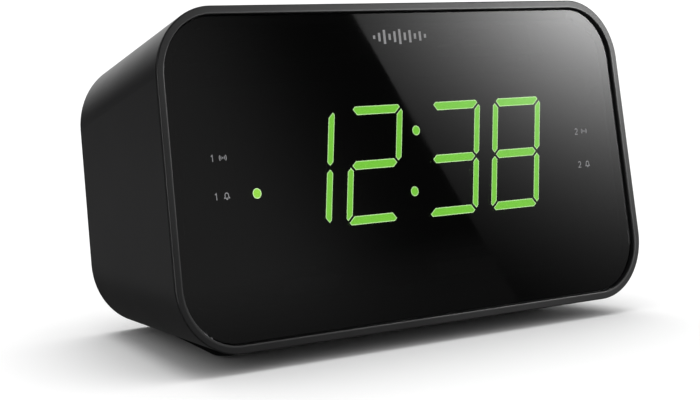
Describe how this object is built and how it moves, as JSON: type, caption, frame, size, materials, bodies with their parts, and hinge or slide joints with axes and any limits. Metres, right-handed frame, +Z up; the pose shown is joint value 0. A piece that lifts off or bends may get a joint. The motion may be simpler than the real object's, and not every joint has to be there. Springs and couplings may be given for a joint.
{
  "type": "clock radio",
  "caption": "Bedside clock radio: tapered rounded cabinet, leaning dark display window with green digits, keys and snooze bar on top, rear speaker and battery door, wedge base with rubber feet.",
  "frame": {"origin": "on the table plane, at the middle of the overall box", "axes": "+X to the right seen from the front, -Y out of the display window, +Z up; the X=0 plane is the cabinet's middle"},
  "size_m": [0.1552, 0.0732, 0.0866],
  "materials": {
    "cabinet_black": "fine moulded texture, satin",
    "frame_black": "satin, smoother than the cabinet",
    "key_black": "satin",
    "smoked_window": "polished smoked acrylic",
    "gasket_foam": "soft foam",
    "reflector_black": "matt",
    "segment_lit": "frosted, glowing green",
    "segment_dark": "frosted, unlit",
    "circuit_board": "solder mask over laminate",
    "led_body": "moulded LED body",
    "component_black": "moulded",
    "plunger_plastic": "smooth",
    "shield_can": "tinned steel",
    "capacitor_can": "sleeved aluminium can",
    "connector_plastic": "natural nylon",
    "ribbon_plastic": "flexible, satin",
    "sprung_steel": "nickel plated",
    "inlet_metal": "nickel plated",
    "soft_rubber": "matt",
    "basket_steel": "pressed steel",
    "magnet_ferrite": "sintered ferrite between steel plates",
    "cone_paper": "pressed paper",
    "coil_copper": "enamelled wire",
    "screw_black": "black zinc",
    "screw_plated": "zinc plated"
  },
  "bodies": {
    "cabinet": {"antenna_grommet": "soft_rubber", "base_plinth": "cabinet_black", "base_screws": "screw_black", "battery_box": "component_black", "battery_contacts": "sprung_steel", "battery_springs": "sprung_steel", "board_connectors": "connector_plastic", "board_screws": "screw_plated", "cabinet_shell": "cabinet_black", "capacitors": "capacitor_can", "display_board": "circuit_board", "display_lens": "smoked_window", "display_ribbon": "ribbon_plastic", "dust_cap": "cone_paper", "front_frame": "frame_black", "inlet_centre_pin": "inlet_metal", "key_board": "circuit_board", "key_ribbon": "ribbon_plastic", "led_chips": "led_body", "lens_gasket": "gasket_foam", "lit_dots": "segment_lit", "lit_segments": "segment_lit", "main_board": "circuit_board", "power_inlet": "component_black", "processor_chip": "component_black", "rear_cover": "cabinet_black", "rear_screws": "screw_black", "reflector_block": "reflector_black", "rubber_feet": "soft_rubber", "speaker_basket": "basket_steel", "speaker_cone": "cone_paper", "speaker_magnet": "magnet_ferrite", "speaker_screws": "screw_plated", "speaker_surround": "soft_rubber", "switch_housings": "component_black", "tuner_module": "shield_can", "unlit_dots": "segment_dark", "unlit_segments": "segment_dark", "voice_coil": "coil_copper"},
    "snooze_bar": {"snooze_bar": "key_black", "snooze_bar_plunger": "plunger_plastic"},
    "alarm_one_key": {"alarm_one_key": "key_black", "alarm_one_key_plunger": "plunger_plastic"},
    "alarm_two_key": {"alarm_two_key": "key_black", "alarm_two_key_plunger": "plunger_plastic"},
    "time_set_key": {"time_set_key": "key_black", "time_set_key_plunger": "plunger_plastic"},
    "radio_key": {"radio_key": "key_black", "radio_key_plunger": "plunger_plastic"},
    "tuning_down_key": {"tuning_down_key": "key_black", "tuning_down_key_plunger": "plunger_plastic"},
    "tuning_up_key": {"tuning_up_key": "key_black", "tuning_up_key_plunger": "plunger_plastic"},
    "volume_down_key": {"volume_down_key": "key_black", "volume_down_key_plunger": "plunger_plastic"},
    "volume_up_key": {"volume_up_key": "key_black", "volume_up_key_plunger": "plunger_plastic"},
    "battery_door": {"battery_door": "cabinet_black"}
  },
  "joints": [
    {"name": "snooze_bar_press", "type": "slide", "parent": "cabinet", "child": "snooze_bar", "axis": [0, -0.2767, -0.961], "range_m": [0, 0.0008], "stiffness_N_per_m": 400, "springref_m": -0.001},
    {"name": "alarm_one_key_press", "type": "slide", "parent": "cabinet", "child": "alarm_one_key", "axis": [0, -0.2767, -0.961], "range_m": [0, 0.0006], "stiffness_N_per_m": 400, "springref_m": -0.001},
    {"name": "alarm_two_key_press", "type": "slide", "parent": "cabinet", "child": "alarm_two_key", "axis": [0, -0.2767, -0.961], "range_m": [0, 0.0006], "stiffness_N_per_m": 400, "springref_m": -0.001},
    {"name": "time_set_key_press", "type": "slide", "parent": "cabinet", "child": "time_set_key", "axis": [0, -0.2767, -0.961], "range_m": [0, 0.0006], "stiffness_N_per_m": 400, "springref_m": -0.001},
    {"name": "radio_key_press", "type": "slide", "parent": "cabinet", "child": "radio_key", "axis": [0, -0.2767, -0.961], "range_m": [0, 0.0006], "stiffness_N_per_m": 400, "springref_m": -0.001},
    {"name": "tuning_down_key_press", "type": "slide", "parent": "cabinet", "child": "tuning_down_key", "axis": [0, -0.2767, -0.961], "range_m": [0, 0.0006], "stiffness_N_per_m": 400, "springref_m": -0.001},
    {"name": "tuning_up_key_press", "type": "slide", "parent": "cabinet", "child": "tuning_up_key", "axis": [0, -0.2767, -0.961], "range_m": [0, 0.0006], "stiffness_N_per_m": 400, "springref_m": -0.001},
    {"name": "volume_down_key_press", "type": "slide", "parent": "cabinet", "child": "volume_down_key", "axis": [0, -0.2767, -0.961], "range_m": [0, 0.0006], "stiffness_N_per_m": 400, "springref_m": -0.001},
    {"name": "volume_up_key_press", "type": "slide", "parent": "cabinet", "child": "volume_up_key", "axis": [0, -0.2767, -0.961], "range_m": [0, 0.0006], "stiffness_N_per_m": 400, "springref_m": -0.001},
    {"name": "battery_door_hinge", "type": "hinge", "parent": "cabinet", "child": "battery_door", "pos_m": [-0.019, 0.02744, 0.01384], "axis": [-1, 0, 0], "range_deg": [0, 90]}
  ]
}
